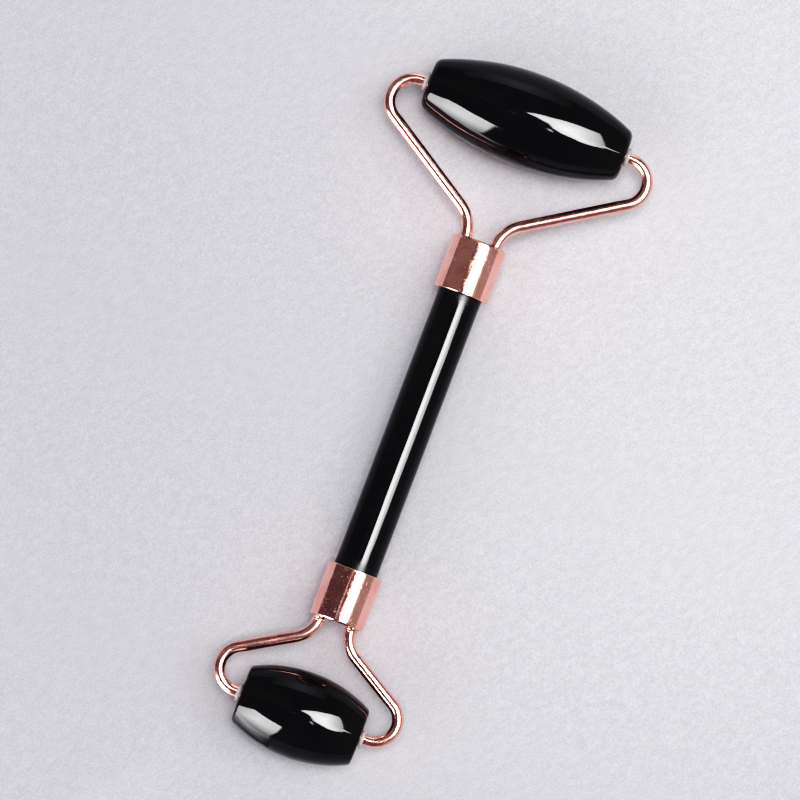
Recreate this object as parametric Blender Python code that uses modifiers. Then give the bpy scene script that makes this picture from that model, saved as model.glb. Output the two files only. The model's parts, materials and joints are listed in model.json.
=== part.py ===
"""Double-ended face roller: a stone rod with a wire fork and a barrel-shaped stone at each end.

Frame: metres, +Z up. The origin lies below the middle of the whole object, on the surface that
the large roller rests on. +Y points from the small roller to the large one, and X runs across
the forks, with left at -X. Both rollers' axes, the forks and the rod's axis lie in one level plane.
"""
import math
from dataclasses import dataclass

import bmesh
import bpy
from mathutils import Vector

MM = 0.001

# Rod and ferrules
ROD_RADIUS = 4.5 * MM
ROD_BARE_LENGTH = 59.0 * MM
ROD_INSERTION = 6.5 * MM
ROD_CHAMFER = 0.3 * MM
FERRULE_RADIUS = 5.65 * MM
FERRULE_LENGTH = 11.1 * MM
FERRULE_WALL = 0.95 * MM
FERRULE_END_WALL = 1.2 * MM
FERRULE_EDGE_ROUND = 0.5 * MM
FERRULE_RIM_BEVEL = 0.18 * MM

# Wire forks
WIRE_RADIUS = 1.2 * MM
WIRE_INSERTION = 2.7 * MM
WIRE_STRAIGHT_EXIT = 0.2 * MM
STUB_LENGTH = 5.2 * MM
COLLAR_HEIGHT = 0.75 * MM
COLLAR_BASE_RADIUS = 1.75 * MM
COLLAR_TOP_RADIUS = 1.37 * MM

# Bushes and the bores that hold them
BUSH_BORE_RADIUS = 1.285 * MM
BUSH_BARREL_RADIUS = 1.54 * MM
BUSH_FLANGE_RADIUS = 1.85 * MM
BUSH_FLANGE_THICKNESS = 0.65 * MM
BUSH_BARREL_LENGTH = 6.0 * MM
BUSH_STAND_OFF = 0.2 * MM
STONE_BORE_RADIUS = 1.64 * MM

# Gaps between pieces that are glued or soldered together
BOND_GAP = 0.1 * MM
SOLDER_GAP = 0.05 * MM

# Facets of the turned pieces and steps of the bends
ROLLER_SEGMENTS = 40
ROD_SEGMENTS = 40
SMALL_SEGMENTS = 24
CORNER_STEPS = 5
EDGE_STEPS = 4
WIRE_BEVEL_RESOLUTION = 4
BEND_STEP = math.radians(8.0)
MERGE_DISTANCE = 1e-7
SHARP_ANGLE = math.radians(35.0)


@dataclass(frozen=True)
class End:
    """One end of the tool: its stone, how far out its axis lies, and its fork's outline."""

    name: str
    side: int
    axis_distance: float
    stone_radius: float
    stone_half_length: float
    barrel_arc_radius: float
    stone_corner_radius: float
    fork_half_width: float
    wire_offset: float
    elbow_radius: float
    arm_angle: float
    barrel_steps: int


LARGE = End(
    name="large",
    side=1,
    axis_distance=67.15 * MM,
    stone_radius=9.5 * MM,
    stone_half_length=21.1 * MM,
    barrel_arc_radius=51.0 * MM,
    stone_corner_radius=1.8 * MM,
    fork_half_width=27.3 * MM,
    wire_offset=3.2 * MM,
    elbow_radius=6.65 * MM,
    arm_angle=math.radians(32.4),
    barrel_steps=21,
)
SMALL = End(
    name="small",
    side=-1,
    axis_distance=60.45 * MM,
    stone_radius=8.9 * MM,
    stone_half_length=12.65 * MM,
    barrel_arc_radius=27.0 * MM,
    stone_corner_radius=0.9 * MM,
    fork_half_width=18.75 * MM,
    wire_offset=3.35 * MM,
    elbow_radius=5.9 * MM,
    arm_angle=math.radians(30.8),
    barrel_steps=17,
)

# Places worked out from the sizes above
HANDLE_Y = (SMALL.axis_distance + SMALL.stone_radius - LARGE.axis_distance - LARGE.stone_radius) / 2
AXIS_Z = LARGE.stone_radius
FERRULE_RIM = ROD_BARE_LENGTH / 2
FERRULE_FACE = FERRULE_RIM + FERRULE_LENGTH
FERRULE_FLOOR = FERRULE_FACE - FERRULE_END_WALL
FERRULE_BORE = FERRULE_RADIUS - FERRULE_WALL
ROD_END = FERRULE_RIM + ROD_INSERTION
WIRE_INNER_END = FERRULE_FLOOR - WIRE_INSERTION
WIRE_HOLE_RADIUS = WIRE_RADIUS + BOND_GAP

# Colour, roughness and metallic value of each finish
BLACK_STONE = ((0.006, 0.006, 0.009), 0.08, 0.0)
ROSE_GOLD = ((0.80, 0.42, 0.33), 0.12, 1.0)
PALE_NYLON = ((0.85, 0.80, 0.78), 0.45, 0.0)
CLEAR_EPOXY = ((0.72, 0.66, 0.52), 0.30, 0.0)


def clear_scene():
    """Remove every object that the scene holds."""
    for obj in list(bpy.data.objects):
        bpy.data.objects.remove(obj, do_unlink=True)


def new_collection(name):
    """Make a collection and link it to the scene."""
    made = bpy.data.collections.new(name)
    bpy.context.scene.collection.children.link(made)
    return made


def dress(obj, finish):
    """Give an object a Principled material of its own."""
    colour, roughness, metallic = finish
    material = bpy.data.materials.new(obj.name + "_finish")
    material.use_nodes = True
    shader = material.node_tree.nodes["Principled BSDF"]
    shader.inputs["Base Color"].default_value = (*colour, 1.0)
    shader.inputs["Roughness"].default_value = roughness
    shader.inputs["Metallic"].default_value = metallic
    material.diffuse_color = (*colour, 1.0)
    obj.data.materials.append(material)


def bake_mesh(obj):
    """Turn an object's modifiers into plain mesh, shaded smooth between its real edges."""
    graph = bpy.context.evaluated_depsgraph_get()
    solid = bpy.data.meshes.new_from_object(obj.evaluated_get(graph))
    profile = obj.data
    obj.modifiers.clear()
    obj.data = solid
    bpy.data.meshes.remove(profile)
    solid.name = obj.name
    solid.shade_smooth()
    solid.set_sharp_from_angle(angle=SHARP_ANGLE)


def turned(name, profile, segments, collection, closed=False):
    """Turn a profile of (radius, height) points about local Z; a closed one makes a ring."""
    mesh = bpy.data.meshes.new(name)
    points = [(radius, 0.0, height) for radius, height in profile]
    edges = [(i, i + 1) for i in range(len(points) - 1)]
    if closed:
        edges.append((len(points) - 1, 0))
    mesh.from_pydata(points, edges, [])
    obj = bpy.data.objects.new(name, mesh)
    collection.objects.link(obj)
    screw = obj.modifiers.new("turn", "SCREW")
    screw.axis = "Z"
    screw.angle = 2.0 * math.pi
    screw.steps = segments
    screw.render_steps = segments
    screw.use_merge_vertices = True
    screw.merge_threshold = MERGE_DISTANCE
    return obj


def arc(centre, radius, start, end, steps):
    """Points (radius, height) on an arc about a centre, its angles measured from the radial way."""
    angles = [start + (end - start) * i / steps for i in range(steps + 1)]
    return [(centre[0] + radius * math.cos(a), centre[1] + radius * math.sin(a)) for a in angles]


def stone_profile(end):
    """Barrel of one large arc, rounded into two flat ends, round a straight bore.

    The barrel has an odd number of steps, so its full radius is a narrow flat band that it rests on.
    """
    corner_height = end.stone_half_length - end.stone_corner_radius
    reach = end.barrel_arc_radius - end.stone_corner_radius
    meeting = math.asin(corner_height / reach)
    half_step = meeting / end.barrel_steps
    barrel_centre = (end.stone_radius - end.barrel_arc_radius * math.cos(half_step), 0.0)
    corner_radial = barrel_centre[0] + reach * math.cos(meeting)
    quarter = math.pi / 2
    corner = end.stone_corner_radius
    upper = arc((corner_radial, corner_height), corner, quarter, meeting, CORNER_STEPS)
    barrel = arc(barrel_centre, end.barrel_arc_radius, meeting, -meeting, end.barrel_steps)
    lower = arc((corner_radial, -corner_height), corner, -meeting, -quarter, CORNER_STEPS)
    bore_top = (STONE_BORE_RADIUS, end.stone_half_length)
    bore_bottom = (STONE_BORE_RADIUS, -end.stone_half_length)
    return [bore_top] + upper + barrel[1:-1] + lower + [bore_bottom]


def ferrule_profile():
    """Cup with its open rim at height 0 and its closed face, rounded at the edge, on top."""
    round_centre = (FERRULE_RADIUS - FERRULE_EDGE_ROUND, FERRULE_LENGTH - FERRULE_EDGE_ROUND)
    floor = FERRULE_LENGTH - FERRULE_END_WALL
    profile = [(0.0, FERRULE_LENGTH)]
    profile += arc(round_centre, FERRULE_EDGE_ROUND, math.pi / 2, 0.0, EDGE_STEPS)
    profile += [
        (FERRULE_RADIUS, FERRULE_RIM_BEVEL),
        (FERRULE_RADIUS - FERRULE_RIM_BEVEL, 0.0),
        (FERRULE_BORE + FERRULE_RIM_BEVEL, 0.0),
        (FERRULE_BORE, FERRULE_RIM_BEVEL),
        (FERRULE_BORE, floor),
        (0.0, floor),
    ]
    return profile


def collar_profile():
    """Hollow-cheeked ring of solder: thin where it meets the wire, wide where it lies on the ferrule."""
    inner = WIRE_RADIUS + SOLDER_GAP
    sweep = COLLAR_BASE_RADIUS - COLLAR_TOP_RADIUS
    cheek = []
    for i in range(EDGE_STEPS + 1):
        angle = math.pi / 2 * i / EDGE_STEPS
        radius = COLLAR_BASE_RADIUS - sweep * math.cos(angle)
        height = SOLDER_GAP + COLLAR_HEIGHT * (1.0 - math.sin(angle))
        cheek.append((radius, height))
    top = (inner, SOLDER_GAP + COLLAR_HEIGHT)
    foot = (inner, SOLDER_GAP)
    return [top] + cheek + [foot]


def bush_profile():
    """Flanged sleeve: the flange stands outside the stone, whose end face is at height 0."""
    flange_base = BUSH_STAND_OFF
    flange_top = flange_base + BUSH_FLANGE_THICKNESS
    return [
        (BUSH_BORE_RADIUS, flange_top),
        (BUSH_FLANGE_RADIUS, flange_top),
        (BUSH_FLANGE_RADIUS, flange_base),
        (BUSH_BARREL_RADIUS, flange_base),
        (BUSH_BARREL_RADIUS, -BUSH_BARREL_LENGTH),
        (BUSH_BORE_RADIUS, -BUSH_BARREL_LENGTH),
    ]


def rounded_path(corners, radii):
    """Points along straight runs through the corners, each inner corner rounded to its radius."""
    path = [corners[0]]
    for before, corner, after, radius in zip(corners, corners[1:], corners[2:], radii):
        arriving = (corner - before).normalized()
        leaving = (after - corner).normalized()
        turn = arriving.angle(leaving)
        setback = radius * math.tan(turn / 2)
        start = corner - arriving * setback
        inward = (leaving - arriving * arriving.dot(leaving)).normalized()
        centre = start + inward * radius
        steps = max(2, math.ceil(turn / BEND_STEP))
        for i in range(steps + 1):
            angle = turn * i / steps
            path.append(centre + (arriving * math.sin(angle) - inward * math.cos(angle)) * radius)
    path.append(corners[-1])
    kept = [path[0]]
    for point in path[1:]:
        if (point - kept[-1]).length > MERGE_DISTANCE:
            kept.append(point)
    return kept


def arm_path(end, hand):
    """Centreline of one arm, from inside its ferrule to the tip of its axle stub."""
    half_turn = (math.pi / 2 - end.arm_angle) / 2
    exit_corner = FERRULE_FACE + WIRE_STRAIGHT_EXIT + end.elbow_radius * math.tan(half_turn)
    run = end.fork_half_width - end.wire_offset
    knee = exit_corner + run * math.tan(end.arm_angle)
    # The two outer bends share one radius and meet with no straight run between them.
    outer_radius = (end.axis_distance - knee) / (math.tan(half_turn) + 1.0)
    corners = [
        (end.wire_offset, WIRE_INNER_END),
        (end.wire_offset, exit_corner),
        (end.fork_half_width, knee),
        (end.fork_half_width, end.axis_distance),
        (end.stone_half_length - STUB_LENGTH, end.axis_distance),
    ]
    placed = [Vector((hand * x, HANDLE_Y + end.side * y, AXIS_Z)) for x, y in corners]
    return rounded_path(placed, [end.elbow_radius, outer_radius, outer_radius])


def make_wire(name, path, collection):
    """Round wire with flat ends along a path."""
    curve = bpy.data.curves.new(name, "CURVE")
    curve.dimensions = "3D"
    curve.bevel_depth = WIRE_RADIUS
    curve.bevel_resolution = WIRE_BEVEL_RESOLUTION
    curve.use_fill_caps = True
    spline = curve.splines.new("POLY")
    spline.points.add(len(path) - 1)
    spline.use_smooth = True
    for point, place in zip(spline.points, path):
        point.co = (*place, 1.0)
    obj = bpy.data.objects.new(name, curve)
    collection.objects.link(obj)
    return obj


def cutter_rod(name, place, length, turn, collection):
    """Wire-sized cutter that starts at a place and runs along the turned Z axis."""
    mesh = bpy.data.meshes.new(name)
    shape = bmesh.new()
    bmesh.ops.create_cone(
        shape,
        cap_ends=True,
        segments=SMALL_SEGMENTS,
        radius1=WIRE_HOLE_RADIUS,
        radius2=WIRE_HOLE_RADIUS,
        depth=length,
    )
    bmesh.ops.translate(shape, vec=(0.0, 0.0, length / 2), verts=shape.verts)
    shape.to_mesh(mesh)
    shape.free()
    obj = bpy.data.objects.new(name, mesh)
    obj.location = place
    obj.rotation_euler = turn
    obj.hide_render = True
    obj.display_type = "WIRE"
    collection.objects.link(obj)
    return obj


def cut_wire_holes(obj, end, start, length, cutters):
    """Cut the two wires' holes through a piece, from a distance along the handle outwards."""
    for hand_name, hand in (("left", -1), ("right", 1)):
        place = Vector((hand * end.wire_offset, HANDLE_Y + end.side * start, AXIS_Z))
        cutter = cutter_rod(f"{obj.name}_{hand_name}_cutter", place, length, outward_turn(end), cutters)
        cut = obj.modifiers.new(f"{hand_name}_hole", "BOOLEAN")
        cut.operation = "DIFFERENCE"
        cut.solver = "EXACT"
        cut.object = cutter
    bpy.context.view_layer.update()


def outward_turn(end):
    """Rotation that lays local Z along the handle, away from its middle."""
    return (-end.side * math.pi / 2, 0.0, 0.0)


def sideways_turn(hand):
    """Rotation that lays local Z along X, to the left (-1) or to the right (+1)."""
    return (0.0, hand * math.pi / 2, 0.0)


def make_rod(parts):
    """Plain stone rod with a small chamfer at each hidden end."""
    profile = [
        (0.0, ROD_END),
        (ROD_RADIUS - ROD_CHAMFER, ROD_END),
        (ROD_RADIUS, ROD_END - ROD_CHAMFER),
        (ROD_RADIUS, -ROD_END + ROD_CHAMFER),
        (ROD_RADIUS - ROD_CHAMFER, -ROD_END),
        (0.0, -ROD_END),
    ]
    rod = turned("handle_rod", profile, ROD_SEGMENTS, parts)
    rod.location = (0.0, HANDLE_Y, AXIS_Z)
    rod.rotation_euler = (-math.pi / 2, 0.0, 0.0)
    bake_mesh(rod)
    dress(rod, BLACK_STONE)


def make_ferrule(end, parts, cutters):
    """Plated cup over the rod's end, with a hole for each wire in its closed face."""
    ferrule = turned(f"{end.name}_end_ferrule", ferrule_profile(), ROD_SEGMENTS, parts)
    ferrule.location = (0.0, HANDLE_Y + end.side * FERRULE_RIM, AXIS_Z)
    ferrule.rotation_euler = outward_turn(end)
    overshoot = 0.5 * MM
    start = FERRULE_FLOOR - overshoot
    cut_wire_holes(ferrule, end, start, FERRULE_END_WALL + 2 * overshoot, cutters)
    bake_mesh(ferrule)
    dress(ferrule, ROSE_GOLD)


def make_adhesive(end, parts, cutters):
    """Cured epoxy that fills the cup behind the rod, with the wires' ends set in it."""
    bottom = ROD_END + BOND_GAP
    top = FERRULE_FLOOR - BOND_GAP
    radius = FERRULE_BORE - BOND_GAP
    profile = [(0.0, top - bottom), (radius, top - bottom), (radius, 0.0), (0.0, 0.0)]
    plug = turned(f"{end.name}_end_adhesive", profile, ROD_SEGMENTS, parts)
    plug.location = (0.0, HANDLE_Y + end.side * bottom, AXIS_Z)
    plug.rotation_euler = outward_turn(end)
    cut_wire_holes(plug, end, WIRE_INNER_END - BOND_GAP, FERRULE_END_WALL + WIRE_INSERTION, cutters)
    bake_mesh(plug)
    dress(plug, CLEAR_EPOXY)


def make_fork(end, parts):
    """Two mirrored wire arms, each with a ring of solder where it leaves the ferrule."""
    for hand_name, hand in (("left", -1), ("right", 1)):
        arm = make_wire(f"{end.name}_fork_{hand_name}_arm", arm_path(end, hand), parts)
        dress(arm, ROSE_GOLD)
        name = f"{end.name}_{hand_name}_solder_collar"
        collar = turned(name, collar_profile(), SMALL_SEGMENTS, parts, closed=True)
        collar.location = (hand * end.wire_offset, HANDLE_Y + end.side * FERRULE_FACE, AXIS_Z)
        collar.rotation_euler = outward_turn(end)
        bake_mesh(collar)
        dress(collar, ROSE_GOLD)


def make_roller(end, parts):
    """Stone barrel and its two bushes, all carried by an empty on the spin axis."""
    pivot = bpy.data.objects.new(f"{end.name}_roller_spin", None)
    pivot.location = (0.0, HANDLE_Y + end.side * end.axis_distance, AXIS_Z)
    parts.objects.link(pivot)
    stone = turned(f"{end.name}_roller", stone_profile(end), ROLLER_SEGMENTS, parts, closed=True)
    stone.rotation_euler = sideways_turn(1)
    stone.parent = pivot
    bake_mesh(stone)
    dress(stone, BLACK_STONE)
    for hand_name, hand in (("left", -1), ("right", 1)):
        name = f"{end.name}_{hand_name}_bush"
        bush = turned(name, bush_profile(), SMALL_SEGMENTS, parts, closed=True)
        bush.location = (hand * end.stone_half_length, 0.0, 0.0)
        bush.rotation_euler = sideways_turn(hand)
        bush.parent = pivot
        bake_mesh(bush)
        dress(bush, PALE_NYLON)


def main():
    """Build the face roller, piece by piece."""
    clear_scene()
    parts = new_collection("double_ended_face_roller")
    cutters = new_collection("cutters")
    make_rod(parts)
    for end in (LARGE, SMALL):
        make_ferrule(end, parts, cutters)
        make_adhesive(end, parts, cutters)
        make_fork(end, parts)
        make_roller(end, parts)


main()
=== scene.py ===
"""Looks of a double-ended stone face roller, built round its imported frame.

Every piece is a smooth surface worked out from the sizes of the solid that it stands for. The tool
lies along Y, its large stone towards +Y, and every length is in metres unless a name says mm.
"""

import json
import logging
import math
from dataclasses import dataclass, field
from enum import Enum
from typing import Any, Callable, Union

import bpy
import numpy as np
from mathutils import Matrix, Vector

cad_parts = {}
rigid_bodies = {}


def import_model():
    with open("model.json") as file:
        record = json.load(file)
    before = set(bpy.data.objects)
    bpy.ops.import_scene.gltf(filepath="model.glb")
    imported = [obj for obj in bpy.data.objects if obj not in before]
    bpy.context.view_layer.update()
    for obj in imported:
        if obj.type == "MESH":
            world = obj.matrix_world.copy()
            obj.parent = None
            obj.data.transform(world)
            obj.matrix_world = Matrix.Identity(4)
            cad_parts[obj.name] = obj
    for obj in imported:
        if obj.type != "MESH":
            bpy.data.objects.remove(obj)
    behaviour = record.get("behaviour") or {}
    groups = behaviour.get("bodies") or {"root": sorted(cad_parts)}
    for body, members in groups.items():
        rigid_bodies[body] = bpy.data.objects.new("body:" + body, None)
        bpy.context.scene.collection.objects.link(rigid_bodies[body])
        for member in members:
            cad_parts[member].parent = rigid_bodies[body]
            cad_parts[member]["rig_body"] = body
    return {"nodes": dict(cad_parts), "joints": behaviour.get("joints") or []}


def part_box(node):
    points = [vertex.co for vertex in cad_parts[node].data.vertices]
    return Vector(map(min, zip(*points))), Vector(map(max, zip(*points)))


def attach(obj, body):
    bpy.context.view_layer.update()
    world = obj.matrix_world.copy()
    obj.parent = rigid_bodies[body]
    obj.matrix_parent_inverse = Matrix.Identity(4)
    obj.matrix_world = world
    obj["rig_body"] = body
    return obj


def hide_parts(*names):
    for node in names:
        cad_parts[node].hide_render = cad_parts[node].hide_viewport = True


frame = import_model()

MM = 0.001
LAY = "lay"
EDGE = "edge"
GLOW = "glow"
TIGHTEST_ARC = 0.6 * MM
SHORTEST_STEP = 0.02 * MM
TABLE_GAP = 0.01 * MM

log = logging.getLogger("face_roller")

Number = Union[int, float]
Colour = tuple[float, float, float]
Triple = tuple[float, float, float]
Pair = tuple[float, float]
RadialChange = Callable[[np.ndarray, np.ndarray], np.ndarray]


# ---------------------------------------------------------------- shader building


class Signal:
    """A number that varies over a surface; arithmetic on it adds the Math nodes that work it out."""

    def __init__(self, graph: "Graph", socket: bpy.types.NodeSocket) -> None:
        """Wrap one output socket.

        Args:
            graph: The graph that the socket's node belongs to.
            socket: The output socket that carries the number.
        """
        self.graph = graph
        self.socket = socket

    def __add__(self, other: "Operand") -> "Signal":
        """Sum of the two."""
        return self.graph.maths("ADD", self, other)

    def __radd__(self, other: "Operand") -> "Signal":
        """Sum with the signal on the right."""
        return self.graph.maths("ADD", other, self)

    def __sub__(self, other: "Operand") -> "Signal":
        """Difference of the two."""
        return self.graph.maths("SUBTRACT", self, other)

    def __rsub__(self, other: "Operand") -> "Signal":
        """Difference with the signal on the right."""
        return self.graph.maths("SUBTRACT", other, self)

    def __mul__(self, other: "Operand") -> "Signal":
        """Product of the two."""
        return self.graph.maths("MULTIPLY", self, other)

    def __rmul__(self, other: "Operand") -> "Signal":
        """Product with the signal on the right."""
        return self.graph.maths("MULTIPLY", other, self)

    def __abs__(self) -> "Signal":
        """Size of the signal without its sign."""
        return self.graph.maths("ABSOLUTE", self)


Operand = Union[Signal, Number]
Plug = Union[Signal, bpy.types.NodeSocket, Number, tuple]
Plugs = dict[Union[str, int], Plug]


class Graph:
    """The node tree of one material or room, with short ways to add what the finishes need."""

    def __init__(self, owner: Union[bpy.types.Material, bpy.types.World]) -> None:
        """Start with an empty tree.

        Args:
            owner: The material or world that the tree belongs to.
        """
        owner.use_nodes = True
        self.owner = owner
        self.tree = owner.node_tree
        self.tree.nodes.clear()

    @classmethod
    def of_material(cls, name: str) -> "Graph":
        """Graph of a new material with this name."""
        return cls(bpy.data.materials.new(name))

    def node(self, kind: str, settings: dict[str, Any], plugs: Plugs) -> bpy.types.Node:
        """Add one node.

        Args:
            kind: The node's type without its ShaderNode prefix.
            settings: Attributes of the node, set before its sockets.
            plugs: Values or links for its input sockets, by name or number.

        Returns:
            The new node.
        """
        made = self.tree.nodes.new("ShaderNode" + kind)
        for name, value in settings.items():
            setattr(made, name, value)
        for key, value in plugs.items():
            socket = made.inputs[key]
            if isinstance(value, Signal):
                self.tree.links.new(value.socket, socket)
            elif isinstance(value, bpy.types.NodeSocket):
                self.tree.links.new(value, socket)
            else:
                socket.default_value = value
        return made

    def maths(self, operation: str, *operands: Operand) -> Signal:
        """Work out one arithmetic step.

        Args:
            operation: The Math node's operation.
            operands: One or two numbers or signals.

        Returns:
            The result as a signal.
        """
        made = self.node("Math", {"operation": operation}, dict(enumerate(operands)))
        return Signal(self, made.outputs[0])

    def place(self) -> bpy.types.NodeSocket:
        """Place of a point on the object, in metres."""
        return self.node("TexCoord", {}, {}).outputs["Object"]

    def lay(self) -> bpy.types.NodeSocket:
        """Place along and round a piece: cosine and sine of the turn, and millimetres along."""
        return self.node("Attribute", {"attribute_name": LAY}, {}).outputs["Vector"]

    def edge(self) -> Signal:
        """How tightly the piece is rounded: 1 on its corners and 0 on its open faces."""
        return Signal(self, self.node("Attribute", {"attribute_name": EDGE}, {}).outputs["Fac"])

    def stretched(
        self, vector: bpy.types.NodeSocket, scale: Triple, turn: Triple = (0.0, 0.0, 0.0)
    ) -> bpy.types.NodeSocket:
        """Turn a vector and then scale it, so that a pattern gets a direction.

        Args:
            vector: The vector to change.
            scale: Scale along each axis.
            turn: Turn about each axis, in degrees.

        Returns:
            The changed vector.
        """
        angles = tuple(math.radians(angle) for angle in turn)
        turned = self.node(
            "Mapping", {"vector_type": "POINT"}, {"Vector": vector, "Rotation": angles}
        ).outputs[0]
        return self.node("VectorMath", {"operation": "MULTIPLY"}, {0: turned, 1: scale}).outputs[0]

    def noise(
        self,
        vector: bpy.types.NodeSocket,
        scale: float,
        detail: float = 2.0,
        rough: float = 0.5,
        warp: float = 0.0,
    ) -> Signal:
        """Soft random variation from 0 to 1.

        Args:
            vector: Where the pattern is read.
            scale: How many features fit in one unit.
            detail: How many finer layers are added.
            rough: Strength of each finer layer.
            warp: How much the pattern is twisted.

        Returns:
            The pattern.
        """
        plugs = {
            "Vector": vector,
            "Scale": scale,
            "Detail": detail,
            "Roughness": rough,
            "Distortion": warp,
        }
        return Signal(self, self.node("TexNoise", {"noise_dimensions": "3D"}, plugs).outputs["Fac"])

    def parts(self, vector: bpy.types.NodeSocket) -> tuple[Signal, Signal, Signal]:
        """The three numbers of a vector."""
        outputs = self.node("SeparateXYZ", {}, {0: vector}).outputs
        return tuple(Signal(self, output) for output in outputs)

    def step(self, value: Signal, low: float, high: float) -> Signal:
        """Smooth step from 0 at a low value to 1 at a high one.

        Args:
            value: The signal that is read.
            low: Where the step starts.
            high: Where the step ends.

        Returns:
            The step.
        """
        made = self.node(
            "MapRange",
            {"interpolation_type": "SMOOTHSTEP"},
            {"Value": value, "From Min": low, "From Max": high},
        )
        return Signal(self, made.outputs["Result"])

    def specks(self, vector: bpy.types.NodeSocket, scale: float, size: float, share: float) -> Signal:
        """Scattered round specks.

        Args:
            vector: Where the pattern is read.
            scale: How many cells fit in one unit.
            size: Radius of a speck as a share of its cell.
            share: Share of the cells that hold one.

        Returns:
            1 on a speck and 0 off it.
        """
        cell = self.node(
            "TexVoronoi", {"feature": "F1"}, {"Vector": vector, "Scale": scale, "Randomness": 1.0}
        )
        chance = self.node("SeparateColor", {}, {"Color": cell.outputs["Color"]}).outputs[0]
        held = self.step(Signal(self, chance), 1.0 - share, 1.0 - share + 0.02)
        return held * (1.0 - self.step(Signal(self, cell.outputs["Distance"]), size * 0.5, size))

    def ridges(self, pattern: Signal) -> Signal:
        """1 where a pattern crosses its middle value, falling to 0 at its ends."""
        return 1.0 - abs(pattern - 0.5) * 2.0

    def hairlines(
        self, vector: bpy.types.NodeSocket, turn: Triple, across: float, along: float
    ) -> Signal:
        """Fine straight scratches: the thin ridges where a long stretched noise crosses its middle.

        Args:
            vector: Where the pattern is read.
            turn: Direction of the scratches, as turns in degrees.
            across: Scratches to one unit across them.
            along: Features to one unit along them.

        Returns:
            1 on a scratch and 0 off it.
        """
        long = self.stretched(vector, (across, along, across), turn)
        ridge = self.ridges(self.noise(long, 1.0, 1.0))
        patchy = self.noise(self.stretched(vector, (along, along, along), turn), 3.0, 1.0)
        return self.step(ridge, 0.955, 0.995) * self.step(patchy, 0.48, 0.62)

    def blend(self, share: Operand, first: Plug, second: Plug) -> bpy.types.NodeSocket:
        """Mix two colours.

        Args:
            share: How much of the second colour shows, from 0 to 1.
            first: Colour at 0.
            second: Colour at 1.

        Returns:
            The mixed colour.
        """
        first = (*first, 1.0) if isinstance(first, tuple) else first
        second = (*second, 1.0) if isinstance(second, tuple) else second
        made = self.node(
            "Mix", {"data_type": "RGBA", "blend_type": "MIX"}, {0: share, 6: first, 7: second}
        )
        return made.outputs[2]

    def brighter(self, colour: bpy.types.NodeSocket, factor: float) -> bpy.types.NodeSocket:
        """A colour with all its parts multiplied by one number."""
        return self.node("VectorMath", {"operation": "SCALE"}, {0: colour, "Scale": factor}).outputs[0]

    def bump(self, height: Signal, depth_mm: float) -> bpy.types.NodeSocket:
        """Turn a height into a changed normal.

        Args:
            height: Height from 0 to 1.
            depth_mm: How far 1 stands above 0, in millimetres.

        Returns:
            The normal.
        """
        plugs = {"Strength": 1.0, "Distance": depth_mm * MM, "Height": height}
        return self.node("Bump", {}, plugs).outputs[0]

    def finish(self, plugs: Plugs) -> bpy.types.Material:
        """Close the graph with a Principled surface.

        Args:
            plugs: Values or links for the surface's sockets.

        Returns:
            The finished material.
        """
        shader = self.node("BsdfPrincipled", {}, plugs)
        self.node("OutputMaterial", {}, {"Surface": shader.outputs[0]})
        return self.owner


# ---------------------------------------------------------------- finishes


@dataclass(frozen=True)
class PolishedStone:
    """Near-black stone, tumbled to a wet gloss, with faint clouds, rare pits and light use marks."""

    deep: Colour = (0.0105, 0.0095, 0.0160)
    cloud: Colour = (0.0260, 0.0245, 0.0330)
    fleck: Colour = (0.120, 0.116, 0.130)
    roughness: float = 0.045
    index: float = 1.54
    relief_mm: float = 0.006
    film_mm: Pair | None = None

    def make(self) -> bpy.types.Material:
        """Material of the stone.

        Returns:
            The material.
        """
        g = Graph.of_material("black_stone" if self.film_mm is None else "black_stone_rod")
        place = g.place()
        lay = g.lay()
        clouds = g.step(g.noise(place, 95.0, 4.0, 0.55, 0.8), 0.50, 0.78)
        veins = g.step(g.ridges(g.noise(place, 60.0, 3.0, 0.6, 1.6)), 0.93, 1.0)
        flecks = g.specks(place, 620.0, 0.085, 0.16)
        colour = g.blend(clouds * 0.8 + veins * 0.25, self.deep, self.cloud)
        colour = g.blend(flecks * 0.55, colour, self.fleck)
        rings = g.noise(g.stretched(lay, (0.9, 0.9, 34.0)), 1.0, 2.0)
        haze = g.noise(place, 170.0, 3.0, 0.6)
        scratches = g.hairlines(place, (12.0, 8.0, 32.0), 5200.0, 150.0) + g.hairlines(
            place, (-9.0, 15.0, -57.0), 4300.0, 120.0
        )
        rough = self.roughness + haze * 0.02 + rings * 0.01 + scratches * 0.03 + g.edge() * 0.04
        relief = haze * 0.30 + rings * 0.08 - scratches * 0.025 - flecks * 0.4
        if self.film_mm is not None:
            film = self._film(g, lay)
            rough = rough + film * 0.36
            relief = relief + film * 2.0
        return g.finish(
            {
                "Base Color": colour,
                "Roughness": rough,
                "IOR": self.index,
                "Normal": g.bump(relief, self.relief_mm),
            }
        )

    def _film(self, g: Graph, lay: bpy.types.NodeSocket) -> Signal:
        """Bonding resin wiped thin along the rod next to each ferrule.

        Args:
            g: The material's graph.
            lay: Place along and round the rod.

        Returns:
            1 where the film is thickest and 0 off it.
        """
        start, end = self.film_mm
        along = g.parts(lay)[2]
        ragged = along + (g.noise(g.stretched(lay, (1.6, 1.6, 0.05)), 1.0, 2.0) - 0.5) * 3.0
        near_start = 1.0 - g.step(ragged, start - 1.2, start + 2.2)
        near_end = g.step(ragged, end - 2.6, end + 1.0)
        return (near_start + near_end) * (0.55 + g.noise(lay, 3.0, 2.0) * 0.45)


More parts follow.
